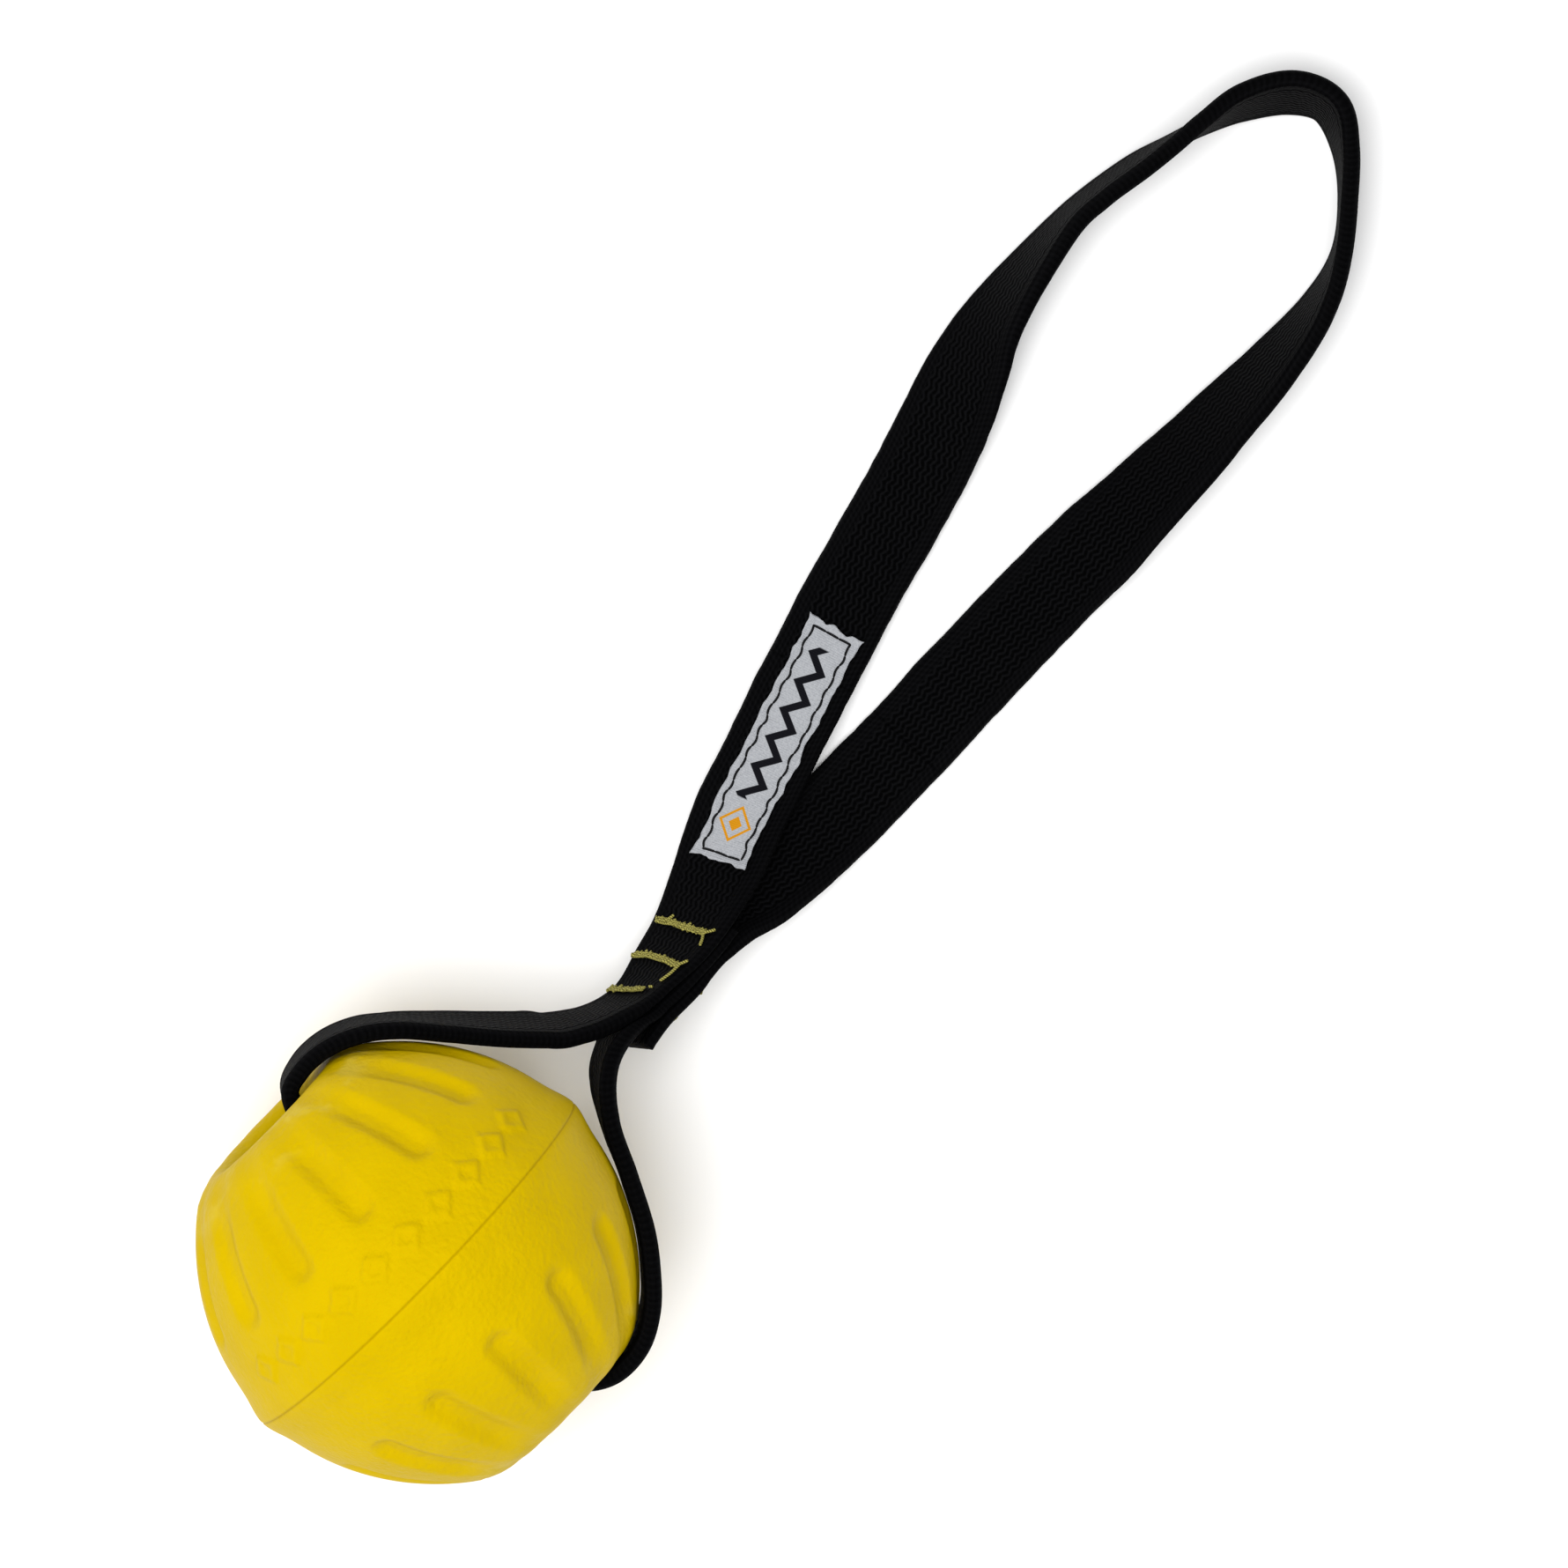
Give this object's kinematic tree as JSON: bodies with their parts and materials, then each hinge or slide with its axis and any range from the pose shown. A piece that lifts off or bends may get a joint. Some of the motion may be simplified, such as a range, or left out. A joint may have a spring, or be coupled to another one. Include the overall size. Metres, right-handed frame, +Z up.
{
  "type": "foam fetch ball on a webbing handle",
  "caption": "Moulded foam throw-and-fetch ball with finger flutes, threaded on a stitched webbing strip that ends in a long hand loop.",
  "frame": {"origin": "centre of the bounding box's underside, on the surface that the ball and the handle lie on", "axes": "+X from the ball along the handle to the tip of the hand loop, +Y along the ball's bore, +Z up from the surface"},
  "size_m": [0.3416, 0.099, 0.0886],
  "materials": {
    "foam": "satin moulded skin with a fine grain",
    "webbing": "black woven webbing",
    "label": "matte woven label",
    "black_thread": "stitched thread",
    "yellow_thread": "packed zigzag stitches"
  },
  "bodies": {
    "ball": {"foam_ball": "foam"},
    "ball_loop": {"webbing_left_leg": "webbing", "webbing_bore_run": "webbing", "webbing_right_leg": "webbing"},
    "stitched_stack": {"webbing_rear_layer": "webbing", "webbing_front_layer": "webbing", "webbing_middle_layer": "webbing", "bartack_front_upper": "yellow_thread", "bartack_front_middle": "yellow_thread", "bartack_front_lower": "yellow_thread", "bartack_rear_upper": "yellow_thread", "bartack_rear_middle": "yellow_thread", "bartack_rear_lower": "yellow_thread"},
    "lower_handle": {"webbing_left_strap": "webbing", "webbing_right_strap": "webbing", "woven_label": "label", "label_stitching": "black_thread"},
    "upper_handle": {"webbing_left_strap_upper": "webbing", "webbing_right_strap_upper": "webbing", "webbing_loop_tip": "webbing"}
  },
  "joints": [
    {"name": "ball_spin", "type": "hinge", "parent": "ball", "child": "ball_loop", "pos_m": [-0.12668, -0.00434, 0.04452], "axis": [0, 1, 0], "continuous": true},
    {"name": "loop_flex", "type": "hinge", "parent": "ball_loop", "child": "stitched_stack", "pos_m": [-0.06648, -0.00094, 0.02442], "axis": [0.3863, -0.3091, 0.869], "range_deg": [-45, 45]},
    {"name": "handle_flex", "type": "hinge", "parent": "stitched_stack", "child": "lower_handle", "pos_m": [-0.03478, 0.00041, 0.00972], "axis": [0.15, -0.7701, 0.6201], "range_deg": [-55, 45]},
    {"name": "hand_loop_fold", "type": "hinge", "parent": "lower_handle", "child": "upper_handle", "pos_m": [0.05692, 0.01356, 0.00252], "axis": [0, -1, 0], "range_deg": [-90, 90]}
  ]
}
